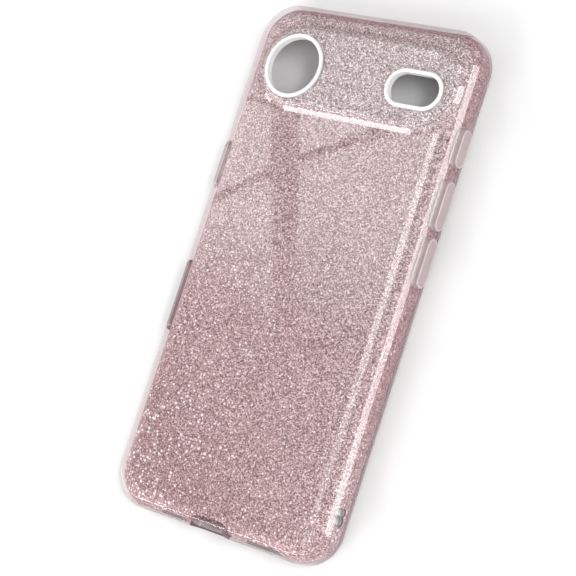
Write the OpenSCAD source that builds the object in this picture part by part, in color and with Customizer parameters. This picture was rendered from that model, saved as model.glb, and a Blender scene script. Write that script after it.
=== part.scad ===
// Layered protective case for a slim phone: a clear soft shell, a glitter sheet and a clear hard plate.
// The case lies on its lip with its back up. +X is the side with three buttons, +Y the camera end.
// All sizes are in millimetres, and z = 0 is the plane of the lip.

/* [Pocket] */
// Width of the pocket that holds the phone
pocket_w = 74.9; // [66:0.1:84]
// Length of the pocket
pocket_l = 156.4; // [140:0.1:170]
// Depth of the pocket, from the lip to the inside of the back
pocket_d = 5.7; // [5.6:0.1:9]
// Height of the lip that stands past the screen
lip_h = 1.0; // [0.6:0.1:1.6]
// How far the lip reaches in over the screen's edge
lip_in = 0.4; // [0.2:0.1:0.8]

/* [Walls] */
// Full thickness of the walls and of the back
wall = 1.9; // [1.6:0.1:2.4]
// Thickness of the clear outer shell where the layers lie under it
shell_t = 1.08; // [0.8:0.02:1.1]
// Thickness of the glitter sheet
sheet_t = 0.12; // [0.1:0.02:0.2]
// Height above the lip plane at which the skirts of the sheet and the plate end
skirt_z = 2.0; // [1.8:0.1:3]
// Outer radius of the case's corners in plan
corner_r = 11.5; // [10:0.5:14]
// Rounding of the back's outer edge
edge_r = 3.5; // [3:0.1:4]
// Rounding of the glitter sheet's edge, where it turns down into the walls
sheet_edge_r = 4.5; // [4:0.1:4.8]
// Rounding inside the pocket's edge, where the phone's back meets its sides
pocket_edge_r = 3.0; // [2.6:0.1:3]
// Rounding of the lip's outer edge
lip_r = 0.9; // [0.4:0.1:1]

/* [Camera plateau] */
// How far the plateau stands above the back
plateau_rise = 2.2; // [1:0.1:3]
// Length of the plateau's flat top across the case
plateau_l = 68.6; // [60:0.2:69]
// Width of the plateau's flat top along the case
plateau_w = 25.5; // [22:0.1:26]
// How far the plateau's foot stands out past its top
flank = 1.35; // [0.8:0.05:1.6]
// Rounding of the plateau's upper edge
crest_r = 1.2; // [0.6:0.1:1.4]
// Sideways position of the plateau's middle
plateau_x = 1.0; // [-1:0.1:1]
// Position of the plateau's middle along the case
plateau_y = 60.4; // [58:0.1:61]

/* [Camera openings] */
// Radius of the round lens hole
lens_r = 8.9; // [6:0.1:9.5]
// Sideways position of the lens hole
lens_x = -21.1; // [-23:0.1:-18]
// Position of the lens hole along the case
lens_y = 59.9; // [58:0.1:61]
// Length of the flash and microphone opening
flash_l = 17; // [12:0.1:19]
// Width of the flash and microphone opening
flash_w = 9.4; // [7:0.1:10]
// Sideways position of the flash and microphone opening
flash_x = 21.9; // [18:0.1:24]
// Position of the flash and microphone opening along the case
flash_y = 59.1; // [58:0.1:61]
// Width of the glitter-free ring round each camera opening
ring_w = 1.25; // [0.8:0.05:1.4]
// Height of that ring above the plateau
ring_rise = 0.3; // [0.1:0.1:0.6]

/* [Button covers] */
// Length of the action button's cover
action_l = 11.4; // [9:0.1:13]
// Position of the action button's cover along the case
action_y = 46.1; // [44:0.1:47]
// Length of each volume button's cover
volume_l = 14.8; // [12:0.1:15]
// Position of the volume-up cover along the case
volume_up_y = 28.8; // [28:0.1:30]
// Position of the volume-down cover along the case
volume_down_y = 11.7; // [10:0.1:12]
// Length of the side button's cover, on the other wall
side_l = 14.8; // [12:0.1:17]
// Position of the side button's cover along the case
side_y = 27; // [22:0.5:32]
// Height of the three covers on the button side
cover_h = 5.0; // [4:0.1:5.2]
// Height of the side button's cover
side_h = 4.0; // [3.6:0.1:5]
// Height of the covers' middle above the lip plane
cover_z = 4.1; // [3.8:0.1:4.4]
// How far the three covers stand out from the wall
cover_proud = 0.8; // [0.4:0.1:1.2]
// How far the side button's cover stands out from the wall
side_proud = 0.3; // [0.3:0.1:1.2]
// Width of the raised bead round a cover's pad
bead_w = 0.9; // [0.6:0.1:1.2]
// Depth of the pad below the bead
pad_sunk = 0.25; // [0.1:0.05:0.4]
// Gap round a cover, bridged by its thin web
cover_gap = 0.3; // [0.25:0.05:0.5]
// Thickness of the web that a cover hangs in
web_t = 0.4; // [0.3:0.05:0.6]

/* [Side openings] */
// Width of the charging port's opening
port_w = 13.4; // [11:0.1:16]
// Height of the charging port's opening
port_h = 6.6; // [5:0.1:6.8]
// Sideways position of the charging port's opening
port_x = -1.6; // [-2:0.1:2]
// Height of the port opening's middle above the lip plane
port_z = 5.0; // [4.6:0.1:5.2]
// Height of the two sound slots
slot_h = 2.6; // [1.6:0.1:3]
// Length of the microphone slot, on the lens side
mic_slot_l = 8.8; // [6:0.1:10]
// Sideways position of the microphone slot
mic_slot_x = -15.5; // [-17:0.1:-14]
// Length of the speaker slot, on the button side
speaker_slot_l = 12; // [8:0.1:14]
// Sideways position of the speaker slot
speaker_slot_x = 17.7; // [15:0.1:19]
// Length of the camera key's opening, in the wall with one button
key_l = 22; // [16:0.5:24]
// Height of the camera key's opening
key_h = 4.6; // [4.4:0.1:4.8]
// Position of the camera key's opening along the case
key_y = -15.5; // [-20:0.5:-8]

/* [Lanyard holes] */
// Radius of the two lanyard holes
lanyard_r = 1.0; // [0.8:0.05:1.1]
// Distance between the lanyard holes
lanyard_pitch = 2.6; // [2.5:0.1:4]
// Position of the middle between the holes along the case
lanyard_y = -63.8; // [-66:0.1:-58]
// Height of the holes above the lip plane
lanyard_z = 5.2; // [4.4:0.1:5.2]

/* [Hidden] */
$fn = 96;

// Outer size of the case, without its plateau and button covers
case_w = pocket_w + 2 * wall;
case_l = pocket_l + 2 * wall;
case_t = lip_h + pocket_d + wall;
plateau_top = case_t + plateau_rise;

// Depth of each layer's outer face below the case's own surface
sheet_inset = shell_t;
plate_inset = shell_t + sheet_t;
plate_edge_r = sheet_edge_r - sheet_t;

// A cut past a surface goes this much further
over = 1;
// The plateau's form starts this far below the inside of the back
root_depth = 1;
// Least rounding of the plateau's upper edge, on the layers inside it
least_round = 0.3;
// Cuts through the back start at this height, inside the pocket
back_cut_z = 4;
back_cut_h = plateau_top + ring_rise + over - back_cut_z;

// Width of the plain shell round each opening, where the sheet and the plate are cut back
window_margin = 0.3;
// How far inside the pocket's wall the free windows start, and those behind the button covers
window_in = 1.1;
cover_window_in = 0.1;

// Button covers, from their inner face to the raised bead
cover_lift = 0.45;
cover_in = pocket_w / 2 + cover_lift;
// Play between a web's inner edge and its cover
web_play = 0.02;

// The recess in the sheet and the plate, where the lanyard's loop passes between its holes
loop_play = 0.2;
loop_l = lanyard_pitch + 2 * (lanyard_r + loop_play);
loop_h = 2 * (lanyard_r + loop_play);
recess_in = 2;

// --- Flat outlines ---

module racetrack(length, width) {
    square([length - width, width], center = true);
    for (side = [-1, 1])
        translate([side * (length - width) / 2, 0]) circle(d = width);
}

module rounded_rectangle(length, width, r) {
    square([length - 2 * r, width], center = true);
    square([length, width - 2 * r], center = true);
    for (x = [-1, 1], y = [-1, 1])
        translate([x * (length / 2 - r), y * (width / 2 - r)]) circle(r = r);
}

// The part of a square corner that lies outside its rounding
module corner_waste(r) {
    difference() {
        square(r + over);
        circle(r = r);
    }
}

// Half of a section through the case, from its middle out to reach
module half_section(reach, top, top_r, foot, foot_r) {
    difference() {
        translate([0, foot]) square([reach, top - foot]);
        translate([reach - top_r, top - top_r]) corner_waste(top_r);
        if (foot_r > 0)
            translate([reach - foot_r, foot + foot_r]) mirror([0, 1]) corner_waste(foot_r);
    }
}

module whole_section(reach, top, top_r, foot, foot_r) {
    half_section(reach, top, top_r, foot, foot_r);
    mirror([1, 0]) half_section(reach, top, top_r, foot, foot_r);
}

// --- Solid forms ---

// The case's form inset from its surface, with its own rounding at the back, and cut off level at foot
module case_form(inset, top_r, foot, foot_r = 0) {
    half_w = case_w / 2 - inset;
    half_l = case_l / 2 - inset;
    r = corner_r - inset;
    top = case_t - inset;
    for (turn = [0:3]) {
        x = (turn == 0 || turn == 3 ? 1 : -1) * (half_w - r);
        y = (turn < 2 ? 1 : -1) * (half_l - r);
        translate([x, y, 0]) rotate([0, 0, 90 * turn])
            rotate_extrude(angle = 90) half_section(r, top, top_r, foot, foot_r);
    }
    rotate([90, 0, 0]) linear_extrude(2 * (half_l - r), center = true)
        whole_section(half_w, top, top_r, foot, foot_r);
    rotate([90, 0, 90]) linear_extrude(2 * (half_w - r), center = true)
        whole_section(half_l, top, top_r, foot, foot_r);
}

// Half of a section through the plateau, from its middle out to its foot
module plateau_section(inset) {
    crest = plateau_w / 2 - inset;
    foot = crest + flank;
    top = plateau_top - inset;
    round_r = max(least_round, crest_r - inset);
    base = case_t - wall - root_depth;
    polygon([
        [0, base], [foot, base], [foot, case_t - inset], [crest, top - round_r], [0, top - round_r]
    ]);
    translate([0, top - 2 * round_r]) square([crest - round_r, 2 * round_r]);
    translate([crest - round_r, top - round_r]) circle(r = round_r);
}

// The camera plateau, inset from its surface all round
module plateau_form(inset) {
    straight = plateau_l - plateau_w;
    translate([plateau_x, plateau_y, 0]) {
        for (side = [-1, 1])
            translate([side * straight / 2, 0, 0]) rotate([0, 0, -90 * side])
                rotate_extrude(angle = 180) plateau_section(inset);
        rotate([90, 0, 90]) linear_extrude(straight, center = true) {
            plateau_section(inset);
            mirror([1, 0]) plateau_section(inset);
        }
    }
}

// The form of a layer, plateau and all: its inset, its rounding at the back and the height of its foot
module layer_form(inset, top_r, foot) {
    case_form(inset, top_r, foot);
    plateau_form(inset);
}

module pocket() {
    layer_form(wall, pocket_edge_r, lip_h);
    translate([0, 0, -over]) linear_extrude(lip_h + 2 * over)
        rounded_rectangle(pocket_w - 2 * lip_in, pocket_l - 2 * lip_in, corner_r - wall - lip_in);
}

// --- Openings ---

// The two openings in the plateau, grown sideways
module camera_openings(grow) {
    translate([lens_x, lens_y, back_cut_z]) cylinder(r = lens_r + grow, h = back_cut_h);
    translate([flash_x, flash_y, back_cut_z]) linear_extrude(back_cut_h)
        racetrack(flash_l + 2 * grow, flash_w + 2 * grow);
}

// A racetrack prism along X between two distances from the middle; side is +1 or -1
module wall_prism(side, y, z, length, height, inner, outer) {
    mirror([side < 0 ? 1 : 0, 0, 0]) translate([inner, y, z]) rotate([90, 0, 90])
        linear_extrude(outer - inner) racetrack(length, height);
}

// A window through a long wall, from the given depth inside the pocket's wall
module side_window(side, y, z, length, height, depth) {
    wall_prism(side, y, z, length, height, pocket_w / 2 - depth, case_w / 2 + over);
}

// A window through the wall at the port end
module end_window(x, z, length, height) {
    translate([x, -pocket_l / 2 + window_in, z]) rotate([90, 0, 0])
        linear_extrude(window_in + wall + over) racetrack(length, height);
}

// The openings for the button covers, grown all round
module cover_windows(grow) {
    height = cover_h + 2 * grow;
    side_window(1, action_y, cover_z, action_l + 2 * grow, height, cover_window_in);
    side_window(1, volume_up_y, cover_z, volume_l + 2 * grow, height, cover_window_in);
    side_window(1, volume_down_y, cover_z, volume_l + 2 * grow, height, cover_window_in);
    side_window(-1, side_y, cover_z, side_l + 2 * grow, side_h + 2 * grow, cover_window_in);
}

// The openings that are simply left free, grown all round
module free_windows(grow) {
    side_window(-1, key_y, cover_z, key_l + 2 * grow, key_h + 2 * grow, window_in);
    end_window(port_x, port_z, port_w + 2 * grow, port_h + 2 * grow);
    end_window(mic_slot_x, cover_z, mic_slot_l + 2 * grow, slot_h + 2 * grow);
    end_window(speaker_slot_x, cover_z, speaker_slot_l + 2 * grow, slot_h + 2 * grow);
}

module lanyard_holes() {
    for (end = [-1, 1])
        translate([pocket_w / 2 - window_in, lanyard_y + end * lanyard_pitch / 2, lanyard_z])
            rotate([0, 90, 0]) cylinder(r = lanyard_r, h = window_in + wall + over);
}

module loop_recess() {
    side_window(1, lanyard_y, lanyard_z, loop_l, loop_h, recess_in);
}

// Where the plain shell keeps its full thickness round the openings
module plain_zones() {
    camera_openings(ring_w);
    cover_windows(cover_gap + window_margin);
    free_windows(window_margin);
}

// --- Fixed parts ---

module camera_rings() {
    ring_h = ring_rise + over;
    translate([0, 0, plateau_top + ring_rise - ring_h]) {
        translate([lens_x, lens_y, 0]) cylinder(r = lens_r + ring_w, h = ring_h);
        translate([flash_x, flash_y, 0]) linear_extrude(ring_h)
            racetrack(flash_l + 2 * ring_w, flash_w + 2 * ring_w);
    }
}

module outer_shell() {
    color([0.93, 0.87, 0.87, 0.5])
    difference() {
        union() {
            case_form(0, edge_r, 0, lip_r);
            plateau_form(0);
            camera_rings();
        }
        difference() {
            layer_form(sheet_inset, sheet_edge_r, skirt_z);
            plain_zones();
        }
        pocket();
        camera_openings(0);
        cover_windows(cover_gap);
        free_windows(0);
        lanyard_holes();
    }
}

// One layer of the case, from its outer face's inset and rounding to those of its inner face
module layer(outer_inset, outer_r, inner_inset, inner_r) {
    difference() {
        layer_form(outer_inset, outer_r, skirt_z);
        layer_form(inner_inset, inner_r, skirt_z - over);
        plain_zones();
        loop_recess();
    }
}

module glitter_sheet() {
    color([0.76, 0.64, 0.64]) layer(sheet_inset, sheet_edge_r, plate_inset, plate_edge_r);
}

module inner_plate() {
    color([0.90, 0.90, 0.92, 0.6]) layer(plate_inset, plate_edge_r, wall, pocket_edge_r);
}

// --- Button covers and their webs ---

module button_cover(side, y, length, height, proud) {
    outer = case_w / 2 + proud;
    color([0.80, 0.69, 0.69])
    difference() {
        wall_prism(side, y, cover_z, length, height, cover_in, outer);
        wall_prism(
            side, y, cover_z, length - 2 * bead_w, height - 2 * bead_w, outer - pad_sunk, outer + over
        );
    }
}

module button_web(side, y, length, height) {
    color([0.88, 0.80, 0.80])
    difference() {
        wall_prism(
            side, y, cover_z, length + 2 * cover_gap, height + 2 * cover_gap, cover_in, cover_in + web_t
        );
        wall_prism(
            side, y, cover_z, length + 2 * web_play, height + 2 * web_play, cover_in - over, cover_in + over
        );
    }
}

module action_button_cover() { button_cover(1, action_y, action_l, cover_h, cover_proud); }
module volume_up_cover() { button_cover(1, volume_up_y, volume_l, cover_h, cover_proud); }
module volume_down_cover() { button_cover(1, volume_down_y, volume_l, cover_h, cover_proud); }
module side_button_cover() { button_cover(-1, side_y, side_l, side_h, side_proud); }

module action_button_web() { button_web(1, action_y, action_l, cover_h); }
module volume_up_web() { button_web(1, volume_up_y, volume_l, cover_h); }
module volume_down_web() { button_web(1, volume_down_y, volume_l, cover_h); }
module side_button_web() { button_web(-1, side_y, side_l, side_h); }

outer_shell();
glitter_sheet();
inner_plate();
action_button_cover();
volume_up_cover();
volume_down_cover();
side_button_cover();
action_button_web();
volume_up_web();
volume_down_web();
side_button_web();
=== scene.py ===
"""Looks of a layered phone case: a clear soft shell over a rose glitter sheet and a clear hard plate."""

import math

import bmesh
import bpy
from mathutils import Matrix, Vector
from mathutils.geometry import delaunay_2d_cdt


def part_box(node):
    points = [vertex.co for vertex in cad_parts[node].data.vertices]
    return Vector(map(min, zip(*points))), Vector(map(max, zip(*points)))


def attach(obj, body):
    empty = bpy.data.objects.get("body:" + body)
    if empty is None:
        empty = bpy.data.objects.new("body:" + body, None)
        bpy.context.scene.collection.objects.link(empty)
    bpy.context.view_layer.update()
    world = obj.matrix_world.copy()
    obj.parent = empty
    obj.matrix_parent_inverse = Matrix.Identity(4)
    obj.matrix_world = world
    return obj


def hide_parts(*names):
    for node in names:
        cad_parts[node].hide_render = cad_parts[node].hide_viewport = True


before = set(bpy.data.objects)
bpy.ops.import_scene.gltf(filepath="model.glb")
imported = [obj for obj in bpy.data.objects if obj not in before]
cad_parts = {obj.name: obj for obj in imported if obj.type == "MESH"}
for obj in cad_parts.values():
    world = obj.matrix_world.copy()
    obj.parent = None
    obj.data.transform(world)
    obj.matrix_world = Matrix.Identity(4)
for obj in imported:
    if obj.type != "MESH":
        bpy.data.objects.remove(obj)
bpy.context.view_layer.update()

MM = 0.001

# ---------------------------------------------------------------------------------------------------------
# Sizes in millimetres. The CAD parts in model.glb give the case's outline and the place of every button
# cover.
# ---------------------------------------------------------------------------------------------------------

_, shell_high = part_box("outer_shell")
HALF_W = shell_high.x / MM
HALF_L = shell_high.y / MM
RING_TOP = shell_high.z / MM

WALL = 1.9
LIP_IN = 0.4
LIP_H = 1.0
LIP_R = 0.9
LIP_INNER_R = 0.3
LIP_CHAMFER = 0.1
# The layers end at the skirt, and the shell is painted darker from the foot band down, as painted shade of
# the dark outline at its foot
SKIRT_Z = 1.4
FOOT_BAND_Z = 1.5
CORNER_R = 11.5
RING_RISE = 0.3
RING_W = 1.25
RING_ROUND = 0.28
RING_SETBACK = 0.08
PLATEAU_RISE = 2.2
PLATEAU_TOP = RING_TOP - RING_RISE
BACK_Z = PLATEAU_TOP - PLATEAU_RISE

PLATEAU_L = 68.6
PLATEAU_W = 25.5
PLATEAU_X = 1.0
PLATEAU_Y = 60.4
# The plateau's flank is a straight bevel at its foot and a quarter-round crest above it
FLANK_OUT = 1.35
CREST_R = 1.2
BEVEL_RISE = PLATEAU_RISE - CREST_R

LENS_X, LENS_Y, LENS_R = -21.1, 59.9, 8.9
FLASH_X, FLASH_Y, FLASH_L, FLASH_W = 21.9, 59.1, 17.0, 9.4


def rounded(r):
    """An edge section that is one quarter circle."""
    return r, 0.0, r, math.radians(45)


# Inset of each layer's outer and inner face, and its section where the back turns down into the walls:
# radius at the back, length of the flat facet, radius at the wall, slope of the facet. The clear shell is
# drawn without refraction, so the layers under it lie at their apparent depth.
SHELL_FACES = ((0.0, (2.2, 1.7, 2.10, math.radians(38))), (0.58, rounded(5.52)))
SHEET_FACES = ((0.60, rounded(5.5)), (0.68, rounded(5.42)))
PLATE_FACES = ((0.72, rounded(5.38)), (WALL, rounded(3.0)))

# Openings in the walls: place along the wall, height of the middle, length and height
PORT = (-1.6, 5.0, 13.4, 6.6)
SOUND_SLOTS = ((-15.5, 4.1, 8.8, 2.6), (17.7, 4.1, 12.0, 2.6))
CAMERA_KEY = (-15.5, 4.1, 22.0, 4.6)
LANYARD_HOLES = (-62.5, -65.1)
LANYARD_Z = 5.2
LANYARD_R = 1.0
LOOP_PLAY = 0.2
# The recess for the lanyard's loop lies between these distances inside the outer surface
LOOP_RECESS = (3.9, 2.4)
COVER_GAP = 0.3
MOUTH_R = 0.26
SHEET_SETBACK = 0.3
SHEET_HOLE_SETBACK = 0.1

# Cutters start this far inside the outer surface, and run out past it
CUT_DEPTH = 3.0
COVER_CUT_DEPTH = 2.0
CUT_PAST = 1.0
NO_MOUTH = 0.01

# Steps of the meshes
CORNER_STEPS = 24
SIDE_STEP = 1.6
EDGE_STEPS = 8
ROUND_STEPS = 8
CREST_STEPS = 7
MOUTH_STEPS = 5
OPENING_STEPS = 20
COVER_STEPS = 24
SHARP = math.radians(30)

# Room that keeps mesh lines apart where they would otherwise meet
RIM_ROOM = 0.35
LOOP_ROOM = 0.05
POINT_ROOM = 0.1
FOOT_ROOM = 0.12
HOLE_RING = 0.25
HOLE_ROOM = 0.45
# A cut mesh is welded within this distance, and its edges that are shorter than a sliver dissolve
WELD = 0.002
SLIVER = 0.001

# Material slots of the clear shell, the plate and the covers
OUTER, INSIDE, RING, CUT, MOUTH, FOOT, HOLE = range(7)
PLATE_HOLE = 1
BEAD = 1


# ---------------------------------------------------------------------------------------------------------
# Outlines: closed loops of (x, y), counter-clockwise
# ---------------------------------------------------------------------------------------------------------

def straight(a, b, step):
    """Points from a towards b, without b."""
    count = max(1, round(math.dist(a, b) / step))
    return [(a[0] + (b[0] - a[0]) * i / count, a[1] + (b[1] - a[1]) * i / count) for i in range(count)]


def rounded_rectangle(half_w, half_l, r):
    """Every case outline has the same number of points, because its straight runs keep their length."""
    outline = []
    cx, cy = half_w - r, half_l - r
    centres = [(cx, cy), (-cx, cy), (-cx, -cy), (cx, -cy)]
    for turn, (cx, cy) in enumerate(centres):
        start = math.pi / 2 * turn
        arc = [start + math.pi / 2 * t for t in smooth_steps(CORNER_STEPS)]
        points = [(cx + r * math.cos(a), cy + r * math.sin(a)) for a in arc]
        nx, ny = centres[(turn + 1) % 4]
        following = (nx + r * math.cos(arc[-1]), ny + r * math.sin(arc[-1]))
        outline += points[:-1] + straight(points[-1], following, SIDE_STEP)
    return outline


def case_outline(inset):
    return rounded_rectangle(HALF_W - inset, HALF_L - inset, CORNER_R - inset)


def racetrack(cx, cy, length, width, grow=0.0, steps=48):
    """A racetrack with its long axis along x, grown all round."""
    r = width / 2 + grow
    half = (length - width) / 2
    outline = []
    for side in (1, -1):
        arc = [math.pi * (i / steps - 0.5) for i in range(steps + 1)]
        ends = [(side * (half + r * math.cos(a)), side * r * math.sin(a)) for a in arc]
        outline += ends[:-1]
        if half > 0:
            outline += straight(ends[-1], (-ends[-1][0], ends[-1][1]), 1.0)
    return [(cx + x, cy + y) for x, y in outline]


def racetrack_distance(x, y, cx, cy, length, width):
    """Signed distance from a racetrack's outline, positive outside."""
    over = max(0.0, abs(x - cx) - (length - width) / 2)
    return math.hypot(over, y - cy) - width / 2


def rounded_distance(x, y, half_w, half_l, r):
    """Signed distance from a rounded rectangle's outline, positive outside."""
    px, py = abs(x) - half_w + r, abs(y) - half_l + r
    return math.hypot(max(px, 0.0), max(py, 0.0)) + min(max(px, py), 0.0) - r


# ---------------------------------------------------------------------------------------------------------
# The form of the case and of each layer inside it
# ---------------------------------------------------------------------------------------------------------

def plateau_distance(x, y, inset):
    return racetrack_distance(x, y, PLATEAU_X, PLATEAU_Y, PLATEAU_L - 2 * inset, PLATEAU_W - 2 * inset)


def plateau_rise(x, y, inset):
    """Height of the plateau over the back."""
    out = plateau_distance(x, y, inset)
    if out >= FLANK_OUT:
        return 0.0
    if out >= 0:
        return BEVEL_RISE * (1 - out / FLANK_OUT)
    if out <= -CREST_R:
        return PLATEAU_RISE
    return BEVEL_RISE + math.sqrt(CREST_R ** 2 - (CREST_R + out) ** 2)


def flank_lines():
    """Distances outside the plateau's outline at which the mesh of its flank has edges."""
    return [FLANK_OUT] + [-CREST_R * (1 - math.cos(math.pi / 2 * t)) for t in smooth_steps(CREST_STEPS)]


def edge_size(edge):
    """How far an edge section reaches in from the wall, and how far it falls."""
    back_r, facet, side_r, tilt = edge
    reach = back_r * math.sin(tilt) + facet * math.cos(tilt) + side_r * (1 - math.sin(tilt))
    fall = back_r * (1 - math.cos(tilt)) + facet * math.sin(tilt) + side_r * math.cos(tilt)
    return reach, fall


def edge_lines(edge):
    """Distances in from the wall at which the mesh of an edge has its loops."""
    back_r, facet, side_r, tilt = edge
    reach, _ = edge_size(edge)
    turn = math.pi / 2 - tilt
    side = [side_r * (1 - math.cos(turn * t)) for t in smooth_steps(EDGE_STEPS)]
    back = [reach - back_r * math.sin(tilt * (1 - t)) for t in smooth_steps(EDGE_STEPS)]
    return side + (back if facet else back[1:])


def edge_drop(into, edge):
    """How far the surface has fallen below the flat back at this distance in from the wall."""
    back_r, _, side_r, tilt = edge
    reach, fall = edge_size(edge)
    from_flat = reach - into
    if from_flat <= 0:
        return 0.0
    if from_flat <= back_r * math.sin(tilt):
        return back_r - math.sqrt(back_r ** 2 - from_flat ** 2)
    if into <= side_r * (1 - math.sin(tilt)):
        return fall - math.sqrt(max(0.0, side_r ** 2 - (side_r - max(into, 0.0)) ** 2))
    return back_r * (1 - math.cos(tilt)) + (from_flat - back_r * math.sin(tilt)) * math.tan(tilt)


def back_height(x, y, inset, edge):
    into = -rounded_distance(x, y, HALF_W - inset, HALF_L - inset, CORNER_R - inset)
    return BACK_Z - inset - edge_drop(into, edge) + plateau_rise(x, y, inset)


def plateau_outline(inset, out):
    return racetrack(PLATEAU_X, PLATEAU_Y, PLATEAU_L - 2 * inset, PLATEAU_W - 2 * inset, out)


def camera_outlines(grow):
    return [
        racetrack(LENS_X, LENS_Y, 2 * LENS_R, 2 * LENS_R, grow),
        racetrack(FLASH_X, FLASH_Y, FLASH_L, FLASH_W, grow),
    ]


def smooth_steps(count):
    return [i / count for i in range(count + 1)]


class Surface:
    """A bmesh that is built of closed loops, in millimetres."""

    def __init__(self):
        self.bm = bmesh.new()

    def loop(self, points):
        return [self.bm.verts.new(p) for p in points]

    def level(self, outline, z):
        return self.loop([(x, y, z) for x, y in outline])

    def band(self, a, b, slot=0):
        """Quads between two loops with the same number of points."""
        count = len(a)
        for i in range(count):
            face = self.bm.faces.new((a[i], a[(i + 1) % count], b[(i + 1) % count], b[i]))
            face.material_index = slot

    def bands(self, loops, slot=0):
        for a, b in zip(loops, loops[1:]):
            self.band(a, b, slot)

    def cap(self, loop):
        """A flat fill of one closed loop."""
        edges = [self.bm.edges.get((loop[i - 1], loop[i])) for i in range(len(loop))]
        bmesh.ops.triangle_fill(self.bm, edges=edges, use_beauty=True)

    def mesh_object(self, name, materials):
        bmesh.ops.recalc_face_normals(self.bm, faces=self.bm.faces)
        return finished(self.bm, name, materials)


def shade_smooth(bm):
    """Smooth everywhere but across sharp and open edges."""
    for face in bm.faces:
        face.smooth = True
    for edge in bm.edges:
        edge.smooth = len(edge.link_faces) == 2 and edge.calc_face_angle(0.0) < SHARP


def finished(bm, name, materials):
    """Turns a bmesh in millimetres into an object in metres, smooth but for its sharp edges."""
    bmesh.ops.scale(bm, vec=(MM, MM, MM), verts=bm.verts)
    shade_smooth(bm)
    mesh = bpy.data.meshes.new(name)
    bm.to_mesh(mesh)
    bm.free()
    for material in materials:
        mesh.materials.append(material)
    piece = bpy.data.objects.new(name, mesh)
    bpy.context.scene.collection.objects.link(piece)
    return piece


def back_surface(form, inset, edge, foot_z, slot):
    """Outer or inner face of a layer, from its foot to the rims of the camera openings.

    Returns its foot loop and the loops round the two camera openings.
    """
    bm = form.bm
    # The loops stop just short of the plateau's foot, and triangles fill the rest
    rim_into = HALF_W - (PLATEAU_X + PLATEAU_L / 2 + FLANK_OUT + RIM_ROOM)
    walls = [into for into in edge_lines(edge) if into < rim_into - LOOP_ROOM] + [rim_into]
    loops = [form.level(case_outline(inset), foot_z)]
    for into in walls:
        loops.append(form.level(case_outline(inset + into), BACK_Z - inset - edge_drop(into, edge)))
    form.bands(loops, slot)
    foot, rim = loops[0], loops[-1]

    # Plan points and edges of everything inside the rim
    plan = []
    edges = []

    def hole_distance(x, y):
        lens = racetrack_distance(x, y, LENS_X, LENS_Y, 2 * LENS_R, 2 * LENS_R)
        flash = racetrack_distance(x, y, FLASH_X, FLASH_Y, FLASH_L, FLASH_W)
        return min(lens, flash) - RING_W

    def add_ring(outline, clear=None):
        """Adds an outline, or only the part of it that keeps this clear of the camera openings."""
        ids = []
        for x, y in outline:
            kept = clear is None or hole_distance(x, y) > clear
            ids.append(len(plan) if kept else None)
            if kept:
                plan.append((x, y))
        pairs = [(ids[i - 1], ids[i]) for i in range(len(ids))]
        edges.extend(pair for pair in pairs if None not in pair)
        return ids

    add_ring([(v.co.x, v.co.y) for v in rim])
    holes = [add_ring(outline) for outline in camera_outlines(RING_W)]
    for outline in camera_outlines(RING_W + HOLE_RING):
        add_ring(outline)
    for out in flank_lines():
        add_ring(plateau_outline(inset, out), clear=HOLE_ROOM)

    # Loose points carry the rounded edge inwards wherever the plateau's foot leaves room for them
    for into in edge_lines(edge):
        if into > rim_into + POINT_ROOM:
            for x, y in case_outline(inset + into):
                if plateau_distance(x, y, inset) > FLANK_OUT + FOOT_ROOM:
                    plan.append((x, y))

    points, _, faces, originals, _, _ = delaunay_2d_cdt([Vector(p) for p in plan], edges, [], 1, 1e-6)
    known = {}
    for i, sources in enumerate(originals):
        for source in sources:
            known[source] = i
    verts = {}
    for source, vert in enumerate(rim):
        verts[known[source]] = vert
    for i, p in enumerate(points):
        if i not in verts:
            verts[i] = bm.verts.new((p.x, p.y, back_height(p.x, p.y, inset, edge)))
    for corners in faces:
        middle = sum((points[i] for i in corners), Vector((0, 0))) / len(corners)
        if hole_distance(middle.x, middle.y) > 0:
            face = bm.faces.new([verts[i] for i in corners])
            face.material_index = slot
    return foot, [[verts[known[source]] for source in ring] for ring in holes]


# ---------------------------------------------------------------------------------------------------------
# Cutters for the openings in the walls
# ---------------------------------------------------------------------------------------------------------

def side_cutter(bm, side, y, z, length, height, start, mouth, slots, surface=HALF_W):
    """A racetrack prism out through a long wall, with a rounded mouth at the given surface."""
    def place(u, v, d):
        return side * d, y + side * u, z + v

    prism_cutter(bm, place, length, height, start, surface, mouth, slots)


def end_cutter(bm, x, z, length, height, start, mouth, slots):
    """The same through the wall at the port end."""
    def place(u, v, d):
        return x + u, -d, z + v

    prism_cutter(bm, place, length, height, start, HALF_L, mouth, slots)


def prism_cutter(bm, place, length, height, start, surface, mouth, slots):
    """Adds the prism; place turns (along the wall, up it, distance from the middle) into a point."""
    wall_slot, mouth_slot = slots
    stations = [(start, 0.0)]
    for t in smooth_steps(MOUTH_STEPS):
        a = math.pi / 2 * t
        stations.append((surface - mouth * (1 - math.sin(a)), mouth * (1 - math.cos(a))))
    stations.append((surface + CUT_PAST, mouth))
    loops = []
    for depth, grow in stations:
        outline = racetrack(0, 0, length, height, grow, OPENING_STEPS)
        loops.append([bm.verts.new(place(u, v, depth)) for u, v in outline])
    for step, (a, b) in enumerate(zip(loops, loops[1:])):
        for i in range(len(a)):
            face = bm.faces.new((a[i - 1], a[i], b[i], b[i - 1]))
            face.material_index = mouth_slot if step else wall_slot
    for loop in (loops[0][::-1], loops[-1]):
        bm.faces.new(loop).material_index = wall_slot


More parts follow.
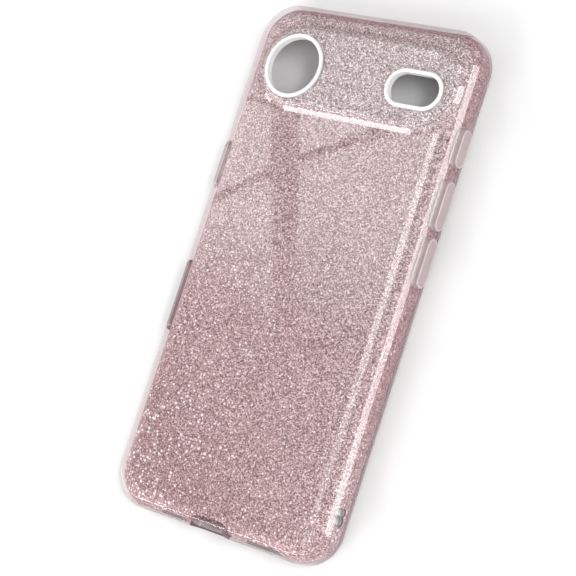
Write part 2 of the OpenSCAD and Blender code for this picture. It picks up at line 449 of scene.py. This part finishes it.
def cut_openings(piece, grow, lanyard_r, mouth, plain=0, dark=0, pale=0):
    """Cuts every opening in the walls out of a piece.

    plain, dark and pale are the material slots of the cut faces, their mouths and the lanyard's holes.
    """
    bm = bmesh.new()
    for node in ("action_button_cover", "volume_up_cover", "volume_down_cover", "side_button_cover"):
        low, high = (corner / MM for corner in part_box(node))
        side = 1 if low.x > 0 else -1
        middle, size = (low + high) / 2, high - low
        side_cutter(bm, side, middle.y, middle.z, size.y + 2 * COVER_GAP, size.z + 2 * COVER_GAP,
                    HALF_W - COVER_CUT_DEPTH, NO_MOUTH, (0, 0))
    from_x, from_y = HALF_W - CUT_DEPTH, HALF_L - CUT_DEPTH
    y, z, length, height = CAMERA_KEY
    side_cutter(bm, -1, y, z, length + 2 * grow, height + 2 * grow, from_x, mouth, (plain, dark))
    x, z, length, height = PORT
    end_cutter(bm, x, z, length + 2 * grow, height + 2 * grow, from_y, mouth, (plain, dark))
    for x, z, length, height in SOUND_SLOTS:
        end_cutter(bm, x, z, length + 2 * grow, height + 2 * grow, from_y, mouth, (0, 0))
    for y in LANYARD_HOLES:
        side_cutter(bm, 1, y, LANYARD_Z, 2 * lanyard_r, 2 * lanyard_r, from_x, mouth, (pale, dark))
    subtract(piece, bm)
    even_normals(piece)


def cut_loop_recess(plate):
    """The recess inside the plate, where the lanyard's loop passes between its holes."""
    bm = bmesh.new()
    loop_h = 2 * (LANYARD_R + LOOP_PLAY)
    middle = sum(LANYARD_HOLES) / 2
    pitch = abs(LANYARD_HOLES[0] - LANYARD_HOLES[1])
    inner, outer = LOOP_RECESS
    side_cutter(bm, 1, middle, LANYARD_Z, pitch + loop_h, loop_h, HALF_W - inner, NO_MOUTH, (0, 0),
                HALF_W - outer)
    subtract(plate, bm)
    even_normals(plate)


def subtract(piece, bm):
    bmesh.ops.recalc_face_normals(bm, faces=bm.faces)
    cutter = finished(bm, "cutter", list(piece.data.materials))
    cut = piece.modifiers.new("openings", "BOOLEAN")
    cut.operation = "DIFFERENCE"
    cut.solver = "EXACT"
    cut.material_mode = "INDEX"
    cut.object = cutter
    graph = bpy.context.evaluated_depsgraph_get()
    mesh = bpy.data.meshes.new_from_object(piece.evaluated_get(graph))
    piece.modifiers.clear()
    old = piece.data
    piece.data = mesh
    bpy.data.meshes.remove(old)
    bpy.data.objects.remove(cutter)


def even_normals(piece):
    """Marks the sharp edges of a cut mesh and weights its normals by face area, so that flats stay flat."""
    bm = bmesh.new()
    bm.from_mesh(piece.data)
    bmesh.ops.remove_doubles(bm, verts=bm.verts, dist=WELD * MM)
    bmesh.ops.dissolve_degenerate(bm, edges=bm.edges, dist=SLIVER * MM)
    shade_smooth(bm)
    bm.to_mesh(piece.data)
    bm.free()
    weighted = piece.modifiers.new("weighted", "WEIGHTED_NORMAL")
    weighted.keep_sharp = True


# ---------------------------------------------------------------------------------------------------------
# Materials
# ---------------------------------------------------------------------------------------------------------

class Nodes:
    """Short names for building a material's node tree."""

    def __init__(self, name):
        self.material = bpy.data.materials.new(name)
        self.material.use_nodes = True
        self.tree = self.material.node_tree
        self.tree.nodes.clear()
        self.out = self.add("ShaderNodeOutputMaterial")

    def add(self, kind, **settings):
        node = self.tree.nodes.new(kind)
        for key, value in settings.items():
            setattr(node, key, value)
        return node

    def link(self, source, target):
        self.tree.links.new(source, target)

    def put(self, node, **values):
        """Sets or links the inputs of a node by name, with _ for a space."""
        for key, value in values.items():
            socket = node.inputs[key.replace("_", " ")]
            if isinstance(value, bpy.types.NodeSocket):
                self.link(value, socket)
            else:
                socket.default_value = value
        return node

    def math(self, operation, a, b=0.0, c=0.0, clamp=False):
        node = self.add("ShaderNodeMath", operation=operation, use_clamp=clamp)
        for socket, value in zip(node.inputs, (a, b, c)):
            if isinstance(value, bpy.types.NodeSocket):
                self.link(value, socket)
            else:
                socket.default_value = value
        return node.outputs[0]

    def ramp(self, value, stops):
        node = self.add("ShaderNodeValToRGB")
        elements = node.color_ramp.elements
        while len(elements) < len(stops):
            elements.new(0.5)
        for element, (position, colour) in zip(elements, stops):
            element.position = position
            element.color = (*colour, 1.0)
        self.link(value, node.inputs[0])
        return node.outputs[0]

    def mix(self, factor, a, b, blend="MIX"):
        node = self.add("ShaderNodeMix", data_type="RGBA", blend_type=blend)
        for socket, value in zip((node.inputs[0], node.inputs[6], node.inputs[7]), (factor, a, b)):
            if isinstance(value, bpy.types.NodeSocket):
                self.link(value, socket)
            elif isinstance(value, tuple):
                socket.default_value = (*value, 1.0)
            else:
                socket.default_value = value
        return node.outputs[2]

    def object_mm(self):
        """Object coordinates in millimetres."""
        coordinates = self.add("ShaderNodeTexCoord")
        mapping = self.add("ShaderNodeMapping")
        mapping.inputs["Scale"].default_value = (1 / MM, 1 / MM, 1 / MM)
        self.link(coordinates.outputs["Object"], mapping.inputs["Vector"])
        return mapping.outputs["Vector"]

    def schlick(self, at_normal):
        """How far a clear surface turns from the eye and how much it reflects, from either side."""
        facing = self.add("ShaderNodeLayerWeight")
        facing.inputs["Blend"].default_value = 0.5
        power = self.math("POWER", facing.outputs["Facing"], 5.0)
        share = self.math("MULTIPLY_ADD", power, 1 - at_normal, at_normal, clamp=True)
        return facing.outputs["Facing"], share


def clear_plastic(name, tints, reflect, haze, haze_tint, roughness=0.014):
    """Clear plastic without refraction: tinted by a ramp from square on to edge on, glossy and faintly
    hazy. A ramp that turns dark edge on is painted shade, for the dark outline that refraction gives.
    """
    n = Nodes(name)
    place = n.object_mm()
    facing, gloss_share = n.schlick(reflect)
    through = n.add("ShaderNodeBsdfTransparent")
    n.link(n.ramp(facing, tints), through.inputs["Color"])

    scatter = n.add("ShaderNodeBsdfDiffuse")
    grain = n.put(n.add("ShaderNodeTexNoise"), Vector=place, Scale=0.7, Detail=3.0)
    low = tuple(0.93 * c for c in haze_tint)
    n.link(n.ramp(grain.outputs["Fac"], [(0.3, low), (0.7, haze_tint)]), scatter.inputs["Color"])
    hazy = n.add("ShaderNodeMixShader")
    n.link(n.math("MULTIPLY_ADD", facing, haze, haze * 0.5, clamp=True), hazy.inputs[0])
    n.link(through.outputs[0], hazy.inputs[1])
    n.link(scatter.outputs[0], hazy.inputs[2])
    body = hazy.outputs[0]
    if reflect:
        gloss = n.add("ShaderNodeBsdfGlossy")
        wear = n.put(n.add("ShaderNodeTexNoise"), Vector=place, Scale=0.06, Detail=4.0)
        worn = n.math("MULTIPLY_ADD", wear.outputs["Fac"], roughness, roughness * 0.5)
        n.link(worn, gloss.inputs["Roughness"])
        ripple = n.put(n.add("ShaderNodeTexNoise"), Vector=place, Scale=0.11, Detail=2.0)
        bump = n.add("ShaderNodeBump")
        n.put(bump, Strength=0.02, Distance=0.01 * MM, Height=ripple.outputs["Fac"])
        n.link(bump.outputs[0], gloss.inputs["Normal"])
        mixed = n.add("ShaderNodeMixShader")
        n.link(gloss_share, mixed.inputs[0])
        n.link(body, mixed.inputs[1])
        n.link(gloss.outputs[0], mixed.inputs[2])
        body = mixed.outputs[0]
    n.link(body, n.out.inputs["Surface"])
    return n.material


def glitter_film(name):
    """Rose film packed with fine flakes: each has its own shade and tilt, and a few are painted near white
    as painted glints.
    """
    n = Nodes(name)
    place = n.object_mm()
    across = n.add("ShaderNodeSeparateXYZ")
    n.link(place, across.inputs[0])
    # Rises from the lower corner on the lens side to the opposite upper corner
    towards_top = n.math("MULTIPLY_ADD", across.outputs["Y"], 1 / 190, 0.45)
    high = n.math("MULTIPLY_ADD", across.outputs["X"], 1 / 220, towards_top, clamp=True)

    flakes = n.put(n.add("ShaderNodeTexVoronoi"), Vector=place, Scale=3.3)
    shade = n.add("ShaderNodeSeparateColor")
    n.link(flakes.outputs["Color"], shade.inputs[0])
    fine = n.put(n.add("ShaderNodeTexVoronoi"), Vector=place, Scale=7.0)
    fine_shade = n.add("ShaderNodeSeparateColor")
    n.link(fine.outputs["Color"], fine_shade.inputs[0])
    base = n.ramp(shade.outputs[0], [
        (0.00, (0.15, 0.10, 0.105)), (0.25, (0.31, 0.225, 0.235)), (0.55, (0.54, 0.425, 0.435)),
        (0.82, (0.80, 0.70, 0.705)), (1.00, (1.00, 1.00, 1.00)),
    ])
    grain = n.ramp(fine_shade.outputs[1], [
        (0.0, (0.60, 0.57, 0.575)), (0.5, (1.0, 1.0, 1.0)), (1.0, (1.5, 1.5, 1.5)),
    ])
    colour = n.mix(1.0, base, grain, "MULTIPLY")
    hue = n.ramp(high, [
        (0.00, (0.84, 0.68, 0.69)), (0.22, (0.99, 0.87, 0.875)), (0.50, (0.99, 0.92, 0.925)),
        (1.00, (1.00, 0.98, 0.98)),
    ])
    colour = n.mix(1.0, colour, hue, "MULTIPLY")
    # The film looks paler where it lies higher, under the camera plateau
    raised = n.math("MULTIPLY_ADD", across.outputs["Z"], 1.0, 0.5 - BACK_Z, clamp=True)
    colour = n.mix(raised, colour, n.mix(1.0, colour, (1.08, 1.20, 1.20), "MULTIPLY"))
    # Painted shade: the film is painted darker where it turns down into the walls, but not at the port end
    fallen = n.math("MULTIPLY_ADD", across.outputs["Z"], -1.0, BACK_Z - 1.1, clamp=True)
    far = n.math("MULTIPLY_ADD", across.outputs["Y"], 1 / 30, 2.0, clamp=True)
    painted_edge_shade = n.mix(1.0, colour, (0.74, 0.58, 0.60), "MULTIPLY")
    colour = n.mix(n.math("MULTIPLY", fallen, far), colour, painted_edge_shade)

    # Painted glints: sparse flakes painted near white, more of them towards the lower corner on the lens
    # side
    stars = n.put(n.add("ShaderNodeTexVoronoi"), Vector=place, Scale=0.95)
    star_shade = n.add("ShaderNodeSeparateColor")
    n.link(stars.outputs["Color"], star_shade.inputs[0])
    drift = n.put(n.add("ShaderNodeTexNoise"), Vector=place, Scale=0.05, Detail=2.0)
    scarce = n.math("MULTIPLY_ADD", high, 0.55, n.math("MULTIPLY", drift.outputs["Fac"], 0.5))
    size = n.math("MULTIPLY", n.math("SUBTRACT", star_shade.outputs[1], scarce), 0.62)
    painted_glint = n.math("LESS_THAN", stars.outputs["Distance"], size)
    colour = n.mix(painted_glint, colour, (1.0, 0.98, 0.98))

    tilt = n.add("ShaderNodeVectorMath", operation="SUBTRACT")
    n.link(flakes.outputs["Color"], tilt.inputs[0])
    tilt.inputs[1].default_value = (0.5, 0.5, 0.5)
    scaled = n.add("ShaderNodeVectorMath", operation="SCALE")
    n.link(tilt.outputs[0], scaled.inputs[0])
    scaled.inputs["Scale"].default_value = 0.35
    geometry = n.add("ShaderNodeNewGeometry")
    leaned = n.add("ShaderNodeVectorMath", operation="ADD")
    n.link(geometry.outputs["Normal"], leaned.inputs[0])
    n.link(scaled.outputs[0], leaned.inputs[1])
    normal = n.add("ShaderNodeVectorMath", operation="NORMALIZE")
    n.link(leaned.outputs[0], normal.inputs[0])

    film = n.add("ShaderNodeBsdfPrincipled")
    n.put(film, Base_Color=colour, Normal=normal.outputs[0])
    n.link(n.math("MULTIPLY_ADD", shade.outputs[2], 0.35, 0.35), film.inputs["Roughness"])
    n.link(n.math("MULTIPLY_ADD", shade.outputs[1], 0.3, 0.0), film.inputs["Metallic"])
    n.link(film.outputs[0], n.out.inputs["Surface"])
    return n.material


def cover_plastic(name, low, high, roughness):
    """Soft rose-tinted plastic of the button covers, slightly cloudy, with a fine satin texture."""
    n = Nodes(name)
    place = n.object_mm()
    cloud = n.put(n.add("ShaderNodeTexNoise"), Vector=place, Scale=0.5, Detail=3.0)
    film = n.add("ShaderNodeBsdfPrincipled")
    n.link(n.ramp(cloud.outputs["Fac"], [(0.3, low), (0.7, high)]), film.inputs["Base Color"])
    fine = n.put(n.add("ShaderNodeTexNoise"), Vector=place, Scale=9.0, Detail=2.0)
    n.link(n.math("MULTIPLY_ADD", fine.outputs["Fac"], 0.16, roughness), film.inputs["Roughness"])
    bump = n.put(n.add("ShaderNodeBump"), Strength=0.15, Distance=0.01 * MM, Height=fine.outputs["Fac"])
    n.link(bump.outputs[0], film.inputs["Normal"])
    film.inputs["Coat Weight"].default_value = 0.4
    film.inputs["Coat Roughness"].default_value = 0.06
    n.link(film.outputs[0], n.out.inputs["Surface"])
    return n.material


def studio_floor(name):
    n = Nodes(name)
    coordinates = n.add("ShaderNodeTexCoord")
    fine = n.put(n.add("ShaderNodeTexNoise"), Vector=coordinates.outputs["Object"], Scale=40.0, Detail=2.0)
    paper = n.add("ShaderNodeBsdfPrincipled")
    n.link(n.ramp(fine.outputs["Fac"], [(0.3, (0.90, 0.90, 0.90)), (0.7, (0.93, 0.93, 0.93))]),
           paper.inputs["Base Color"])
    paper.inputs["Roughness"].default_value = 0.75
    paper.inputs["Specular IOR Level"].default_value = 0.2
    n.link(paper.outputs[0], n.out.inputs["Surface"])
    return n.material


# Each clear plastic has its tints from square on to edge on, its reflection, its haze and the haze's tint
# The outer face's last tint stop is painted shade: the dark rose outline that refraction gives where the
# shell is seen edge on.
SHELL_FACE = clear_plastic("shell_outer_face", [
    (0.00, (0.975, 0.955, 0.955)), (0.70, (0.97, 0.93, 0.935)), (0.92, (0.93, 0.82, 0.83)),
    (0.98, (0.48, 0.26, 0.29)),
], 0.045, 0.03, (0.97, 0.92, 0.925))
SHELL_INSIDE = clear_plastic("shell_inner_face", [
    (0.0, (0.99, 0.985, 0.985)), (1.0, (0.96, 0.92, 0.92)),
], 0.0, 0.03, (0.97, 0.92, 0.925))
# The rings' strong white haze is partly frost and partly painted highlight, for the light their rounded
# rims reflect.
RING_FACE = clear_plastic("ring_frost_and_painted_highlight", [
    (0.0, (0.97, 0.96, 0.96)), (1.0, (0.85, 0.80, 0.80)),
], 0.04, 1.5, (0.97, 0.96, 0.96))
# Painted shade: the cut walls of the port and the camera key are dark rose, as their insides lie in shade.
CUT_FACE = clear_plastic("shell_cut_face_painted_shade", [
    (0.0, (0.60, 0.42, 0.43)), (1.0, (0.50, 0.34, 0.36)),
], 0.04, 1.8, (0.27, 0.165, 0.175))
# Painted shade: the rounded mouths of the openings are near black, as the dark outline round each opening.
MOUTH_FACE = clear_plastic("shell_mouth_painted_shade", [
    (0.0, (0.45, 0.28, 0.30)), (1.0, (0.30, 0.17, 0.19)),
], 0.04, 1.7, (0.13, 0.075, 0.08))
HOLE_FACE = clear_plastic("lanyard_hole", [
    (0.0, (0.90, 0.90, 0.90)), (1.0, (0.80, 0.80, 0.80)),
], 0.04, 1.6, (0.62, 0.64, 0.64))
# Painted shade: the foot band is darker rose, for the dark outline that refraction gives along the case's
# foot.
FOOT_PAINTED_SHADE = clear_plastic("shell_foot_painted_shade", [
    (0.0, (0.80, 0.60, 0.62)), (1.0, (0.55, 0.34, 0.37)),
], 0.04, 0.5, (0.56, 0.38, 0.40))
PLATE_FACE = clear_plastic("plate_face", [
    (0.0, (0.97, 0.965, 0.97)), (1.0, (0.88, 0.88, 0.90)),
], 0.04, 0.02, (0.92, 0.92, 0.93))
GLITTER = glitter_film("rose_glitter")
COVER = cover_plastic("button_cover_pad", (0.42, 0.325, 0.33), (0.48, 0.375, 0.38), 0.28)
COVER_BEAD = cover_plastic("button_cover_bead", (0.56, 0.46, 0.465), (0.62, 0.52, 0.525), 0.18)


# ---------------------------------------------------------------------------------------------------------
# Fixed parts
# ---------------------------------------------------------------------------------------------------------

def outer_shell():
    form = Surface()
    (out_inset, out_edge), (in_inset, in_edge) = SHELL_FACES
    outer_foot, outer_rims = back_surface(form, out_inset, out_edge, FOOT_BAND_Z, OUTER)
    inner_foot, inner_rims = back_surface(form, in_inset, in_edge, SKIRT_Z, INSIDE)
    lip_top = form.level(case_outline(0.0), LIP_R)
    form.band(outer_foot, lip_top, FOOT)

    # Round the lip, over its inner edge and up the clear wall to the skirts of the layers
    loops = [lip_top]
    for t in smooth_steps(ROUND_STEPS)[1:]:
        a = math.pi / 2 * t
        loops.append(form.level(case_outline(LIP_R * (1 - math.cos(a))), LIP_R * (1 - math.sin(a))))
    lip_edge = WALL + LIP_IN
    for t in smooth_steps(5):
        a = math.pi / 2 * t
        inset = lip_edge - LIP_INNER_R + LIP_INNER_R * math.sin(a)
        loops.append(form.level(case_outline(inset), LIP_INNER_R * (1 - math.cos(a))))
    loops.append(form.level(case_outline(lip_edge), LIP_H - LIP_CHAMFER))
    loops.append(form.level(case_outline(lip_edge - LIP_CHAMFER), LIP_H))
    form.bands(loops, OUTER)
    pocket = [form.level(case_outline(WALL), LIP_H), form.level(case_outline(WALL), SKIRT_Z)]
    form.bands([loops[-1], *pocket, inner_foot], INSIDE)

    # Each camera opening has a raised ring, a straight wall and a flat rim under the ring
    pocket_top = PLATEAU_TOP - WALL
    for hole in (0, 1):
        edge = [outer_rims[hole]]
        for grow, z in ring_profile():
            edge.append(form.level(camera_outlines(grow)[hole], z))
        form.bands(edge, RING)
        under = [edge[-1], form.level(camera_outlines(0.0)[hole], pocket_top),
                 form.level(camera_outlines(RING_W)[hole], pocket_top), inner_rims[hole]]
        form.bands(under, RING)
    return form.mesh_object("clear_outer_shell", [
        SHELL_FACE, SHELL_INSIDE, RING_FACE, CUT_FACE, MOUTH_FACE, FOOT_PAINTED_SHADE, HOLE_FACE,
    ])


def ring_profile():
    """Section of the ring, from its foot to the mouth of the opening, as (growth, height)."""
    r, centre_z = RING_ROUND, RING_TOP - RING_ROUND
    section = []
    for t in smooth_steps(4)[1:]:
        a = math.pi / 2 * t
        section.append((RING_W - RING_SETBACK - r * (1 - math.cos(a)), centre_z + r * math.sin(a)))
    for t in smooth_steps(5):
        a = math.pi / 2 * t
        section.append((r * (1 - math.sin(a)), centre_z + r * math.cos(a)))
    return section


def layer(name, faces, materials):
    """The glitter sheet or the plate: two faces joined at the foot and round the camera openings."""
    form = Surface()
    (out_inset, out_edge), (in_inset, in_edge) = faces
    outer_foot, outer_rims = back_surface(form, out_inset, out_edge, SKIRT_Z, 0)
    inner_foot, inner_rims = back_surface(form, in_inset, in_edge, SKIRT_Z, 0)
    form.band(outer_foot, inner_foot)
    for a, b in zip(outer_rims, inner_rims):
        form.band(a, b)
    return form.mesh_object(name, materials)


def fixed_parts():
    shell = outer_shell()
    cut_openings(shell, 0.0, LANYARD_R, MOUTH_R, plain=CUT, dark=MOUTH, pale=HOLE)
    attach(shell, "case")
    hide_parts("outer_shell")

    sheet = layer("rose_glitter_sheet", SHEET_FACES, [GLITTER])
    cut_openings(sheet, SHEET_SETBACK, LANYARD_R + SHEET_HOLE_SETBACK, NO_MOUTH)
    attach(sheet, "case")
    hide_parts("glitter_sheet")

    plate = layer("clear_inner_plate", PLATE_FACES, [PLATE_FACE, HOLE_FACE])
    cut_openings(plate, 0.0, LANYARD_R, NO_MOUTH, pale=PLATE_HOLE)
    cut_loop_recess(plate)
    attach(plate, "case")
    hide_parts("inner_plate")


# ---------------------------------------------------------------------------------------------------------
# Button covers and the webs they hang in
# ---------------------------------------------------------------------------------------------------------

# Where the bead begins in a cover's section, and where the pad begins, counted from the end
BEAD_FROM = 4
PAD_FROM = -8


def cover_section(inner, outer, half_height):
    """Section of a cover from the edge of its inner face, as (inset, distance from the middle)."""
    back_r, edge_r, bead, sunk, crown, flat = 0.25, 0.30, 0.75, 0.2, 0.06, 0.35
    section = []
    for t in smooth_steps(3):
        a = math.pi / 2 * t
        section.append((back_r * (1 - math.sin(a)), inner + back_r * (1 - math.cos(a))))
    for t in smooth_steps(7):
        a = math.pi / 2 * t
        section.append((edge_r * (1 - math.cos(a)), outer - edge_r * (1 - math.sin(a))))
    for t in smooth_steps(8)[1:]:
        fall = t * t * (3 - 2 * t)
        section.append((edge_r + (bead - edge_r) * t, outer - sunk * fall))
    for share in (0.35, 0.7, 1.0):
        section.append((bead + (half_height - bead - flat) * share, outer - sunk + crown * share))
    return section


def button(node, body):
    low, high = (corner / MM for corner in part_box(node))
    side = 1 if low.x > 0 else -1
    inner, outer = sorted((abs(low.x), abs(high.x)))
    y, z = (low.y + high.y) / 2, (low.z + high.z) / 2
    size = high - low

    form = Surface()
    loops = []
    for inset, out in cover_section(inner, outer, size.z / 2):
        outline = racetrack(0, 0, size.y, size.z, -inset, COVER_STEPS)
        loops.append(form.loop([(side * out, y + u, z + v) for u, v in outline]))
    form.bands(loops[:BEAD_FROM + 1])
    form.bands(loops[BEAD_FROM:PAD_FROM + 1], BEAD)
    form.bands(loops[PAD_FROM:])
    form.cap(loops[0])
    form.cap(loops[-1])
    cover = form.mesh_object(node.replace("_cover", "") + "_pad", [COVER, COVER_BEAD])
    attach(cover, body)
    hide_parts(node)

    # The web is a dished ring that fills the window, from just inside the shell to just inside the cover
    web_low, web_high, dish = 0.15, 1.42, 0.06
    into_shell, into_cover = 0.04, 0.02
    form = Surface()
    top, bottom = [], []
    for t in smooth_steps(6):
        dip = dish * (math.sin(math.pi * t) + t)
        grow = (COVER_GAP + into_shell) * (1 - t) - into_cover * t
        outline = racetrack(0, 0, size.y, size.z, grow, COVER_STEPS)
        top.append(form.loop([(side * (inner + web_high - dip), y + u, z + v) for u, v in outline]))
        bottom.append(form.loop([(side * (inner + web_low), y + u, z + v) for u, v in outline]))
    form.bands(top)
    form.bands(bottom)
    form.band(top[0], bottom[0])
    form.band(top[-1], bottom[-1])
    web = form.mesh_object(node.replace("_cover", "") + "_membrane", [COVER])
    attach(web, "case")
    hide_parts(node.replace("_cover", "_web"))


# ---------------------------------------------------------------------------------------------------------
# Studio: floor, lights and camera
# ---------------------------------------------------------------------------------------------------------

FLOOR_Z = -0.0001
FLOOR_HALF = 3.0


def floor():
    bm = bmesh.new()
    bmesh.ops.create_grid(bm, x_segments=24, y_segments=24, size=FLOOR_HALF / MM)
    piece = finished(bm, "studio_floor", [studio_floor("studio_paper")])
    piece.location.z = FLOOR_Z


def panel(name, place, target, width, height, radiance, roll=0.0):
    """A rectangular soft light of the given radiance that faces its target."""
    data = bpy.data.lights.new(name, "AREA")
    data.shape = "RECTANGLE"
    data.size, data.size_y = width, height
    data.energy = radiance * math.pi * width * height
    lamp = bpy.data.objects.new(name, data)
    lamp.location = place
    facing = (Vector(target) - Vector(place)).to_track_quat("-Z", "Y")
    lamp.rotation_euler = (facing.to_matrix() @ Matrix.Rotation(roll, 3, "Z")).to_euler()
    bpy.context.scene.collection.objects.link(lamp)
    return lamp


CAMERA_AT = Vector((0.2897, -0.0509, 0.4425))
CAMERA_FORWARD = Vector((-0.55252, 0.08673, -0.82897))
CAMERA_UP = Vector((-0.21217, 0.94717, 0.24051))
CAMERA_LENS = 111.9
CEILING_Z = 1.0
CENTRE = (0.0, 0.03, 0.008)
PLATEAU_MIDDLE = (0.0, 0.055, 0.010)
RIGHT_EDGE = (0.035, 0.03, 0.008)


def mirrored_on_ceiling(x, y):
    """Point of the ceiling that the camera sees reflected at a plan point of the flat back, in metres."""
    back = BACK_Z * MM
    image = Vector((CAMERA_AT.x, CAMERA_AT.y, 2 * back - CAMERA_AT.z))
    ray = Vector((x * MM, y * MM, back)) - image
    return image + ray * ((CEILING_Z - image.z) / ray.z)


def window_glow(name, radiance, bright_y, dark_y):
    """Emission that fades between two distances along the ceiling."""
    n = Nodes(name)
    coordinates = n.add("ShaderNodeTexCoord")
    across = n.add("ShaderNodeSeparateXYZ")
    n.link(coordinates.outputs["Object"], across.inputs[0])
    fade = n.put(n.add("ShaderNodeMapRange"), Value=across.outputs["Y"], From_Min=dark_y, From_Max=bright_y)
    glow = n.add("ShaderNodeEmission")
    n.link(n.math("MULTIPLY", fade.outputs[0], radiance), glow.inputs["Strength"])
    n.link(glow.outputs[0], n.out.inputs["Surface"])
    return n.material


def window_pane(name, corners, radiance, bright_y=-200.0, dark_y=-201.0):
    """A glowing panel on the ceiling that the flat back mirrors as the given plan outline."""
    bm = bmesh.new()
    bm.faces.new([bm.verts.new(mirrored_on_ceiling(x, y) / MM) for x, y in corners])
    glow = window_glow(name, radiance, mirrored_on_ceiling(0, bright_y).y, mirrored_on_ceiling(0, dark_y).y)
    piece = finished(bm, name, [glow])
    piece.visible_camera = False


def lights():
    world = bpy.data.worlds.new("studio")
    world.use_nodes = True
    background = world.node_tree.nodes["Background"]
    background.inputs["Color"].default_value = (1.0, 1.0, 1.0, 1.0)
    background.inputs["Strength"].default_value = 0.285
    bpy.context.scene.world = world
    bpy.context.scene.view_settings.view_transform = "Standard"

    panel("soft_right", (0.90, 0.10, 0.71), CENTRE, 0.8, 1.2, 1.7)
    # The left fill stays out of reflections, or the back would mirror it as a white patch at low angles
    fill = panel("soft_left", (-1.0, 0.15, 0.30), CENTRE, 0.6, 0.5, 5.0)
    fill.visible_glossy = False

    # Low, narrow panels that the plateau's flank and the long facet of the back's edge mirror
    panel("line_right", (0.81, 0.16, 0.77), RIGHT_EDGE, 0.72, 0.20, 9.5)
    panel("line_right_back", (0.49, 0.90, 0.57), PLATEAU_MIDDLE, 0.40, 0.14, 5.0, roll=0.15)
    panel("line_front", (0.05, -0.79, 0.72), PLATEAU_MIDDLE, 0.80, 0.14, 5.0, roll=-0.3)
    panel("line_left_front", (-0.51, -0.775, 0.475), PLATEAU_MIDDLE, 0.74, 0.17, 14.0, roll=-0.1)
    panel("line_left", (-1.00, -0.42, 0.10), PLATEAU_MIDDLE, 0.50, 0.16, 9.0)

    # A window with a mullion and a slanting bar, a slit of light beside it, and a pane over the plateau
    window_pane("pane_plateau", [(-60, 48.5), (60, 48.5), (60, 90), (-60, 90)], 2.0)
    window_pane("pane_upper_left", [(-60, 47), (-26.0, 47), (-19.2, 28.4), (-60, 0.0)], 4.4)
    window_pane("pane_upper_right", [
        (-15.2, 47.3), (9, 48), (10.6, 45.7), (3.3, 41.3), (-10.3, 34.2),
    ], 4.4)
    window_pane("pane_lower_left", [
        (-60, -4), (-18.0, 25.5), (-11.3, 10.0), (0.4, -18.4), (-1, -24), (-60, -24),
    ], 4.0, 14.0, -22.0)
    window_pane("pane_lower_right", [
        (-9.2, 31.5), (4.3, 38.7), (25.0, 47.9), (31.8, 47.9), (31.8, -20), (7.7, -20),
    ], 3.6, 20.0, -18.0)
    window_pane("slit_right", [
        (31.7, 48.2), (33.9, 48.2), (33.9, -110), (31.7, -110),
    ], 10.0, 15.0, -100.0)


def camera():
    data = bpy.data.cameras.new("camera")
    data.sensor_width = 36.0
    data.lens = CAMERA_LENS
    data.clip_start = 0.01
    eye = bpy.data.objects.new("camera", data)
    right = CAMERA_FORWARD.cross(CAMERA_UP).normalized()
    up = right.cross(CAMERA_FORWARD).normalized()
    turn = Matrix((right, up, -CAMERA_FORWARD.normalized())).transposed()
    eye.matrix_world = Matrix.Translation(CAMERA_AT) @ turn.to_4x4()
    bpy.context.scene.collection.objects.link(eye)
    bpy.context.scene.camera = eye


camera()
fixed_parts()
button("action_button_cover", "action_button")
button("volume_up_cover", "volume_up")
button("volume_down_cover", "volume_down")
button("side_button_cover", "side_button")
floor()
lights()

bpy.context.view_layer.update()
